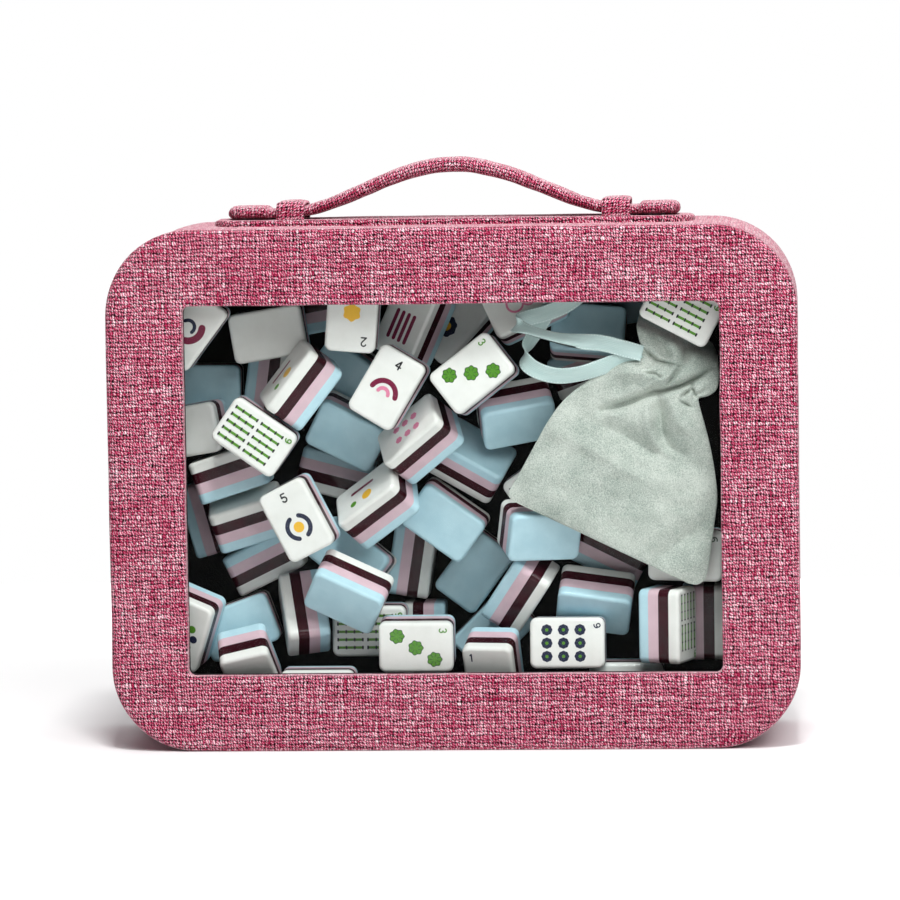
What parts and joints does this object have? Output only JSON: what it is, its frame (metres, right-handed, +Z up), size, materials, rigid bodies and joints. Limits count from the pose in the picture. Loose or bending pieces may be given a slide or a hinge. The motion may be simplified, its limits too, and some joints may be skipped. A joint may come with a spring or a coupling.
{
  "type": "mahjong case",
  "caption": "Fabric-wrapped board case with a clear window in its hinged front, a sliding strap handle, and layered tiles and a drawstring pouch inside.",
  "frame": {"origin": "middle of the face the case stands on", "axes": "+X to the right seen from the window side, -Y out of the window, +Z up"},
  "size_m": [0.29, 0.09, 0.2481],
  "materials": {
    "tweed": "coarse plain weave, pink and pale slubs",
    "board": "bare fibreboard",
    "lining": "charcoal velvet",
    "pane": "clear polished acrylic",
    "steel": "plain",
    "magnet": "nickel-plated",
    "tile_white": "polished",
    "tile_burgundy": "polished",
    "tile_pink": "polished",
    "tile_blue": "polished",
    "pouch": "mint suede",
    "ribbon": "satin"
  },
  "bodies": {
    "case_body": {"wall_board": "board", "wall_cover": "tweed", "back_board": "board", "back_cover": "tweed", "body_lining": "lining", "hinge_tape": "tweed", "magnets_body": "magnet", "base_patch": "tweed", "top_plate": "steel", "handle_rivets": "steel", "keeper_left": "tweed", "keeper_right": "tweed", "tile_faces": "tile_white", "tile_burgundy": "tile_burgundy", "tile_pink": "tile_pink", "tile_backs": "tile_blue", "pouch_bag": "pouch", "pouch_ribbon": "ribbon"},
    "lid": {"lid_board": "board", "lid_spacer": "board", "lid_cover": "tweed", "lid_lining": "lining", "window_pane": "pane", "magnets_lid": "magnet"},
    "handle": {"handle_grip": "tweed", "handle_legs": "tweed"},
    "strap_end_left": {"handle_pad_left": "tweed"},
    "strap_end_right": {"handle_pad_right": "tweed"}
  },
  "joints": [
    {"name": "lid_hinge", "type": "hinge", "parent": "case_body", "child": "lid", "pos_m": [0, -0.0352, 0], "axis": [1, 0, 0], "range_deg": [0, 170], "deforming": ["hinge_tape"]},
    {"name": "handle_lift", "type": "slide", "parent": "case_body", "child": "handle", "axis": [0, 0, 1], "range_m": [0, 0.008], "deforming": ["handle_legs"]},
    {"name": "strap_slide_left", "type": "slide", "parent": "handle", "child": "strap_end_left", "axis": [0.3453, 0, -0.9385], "range_m": [0, 0.00852]},
    {"name": "strap_slide_right", "type": "slide", "parent": "handle", "child": "strap_end_right", "axis": [-0.3453, 0, -0.9385], "range_m": [0, 0.00852]}
  ],
  "couplings": [
    {"joint": "strap_slide_left", "follows": "handle_lift", "ratio": 1.0655},
    {"joint": "strap_slide_right", "follows": "handle_lift", "ratio": 1.0655}
  ]
}
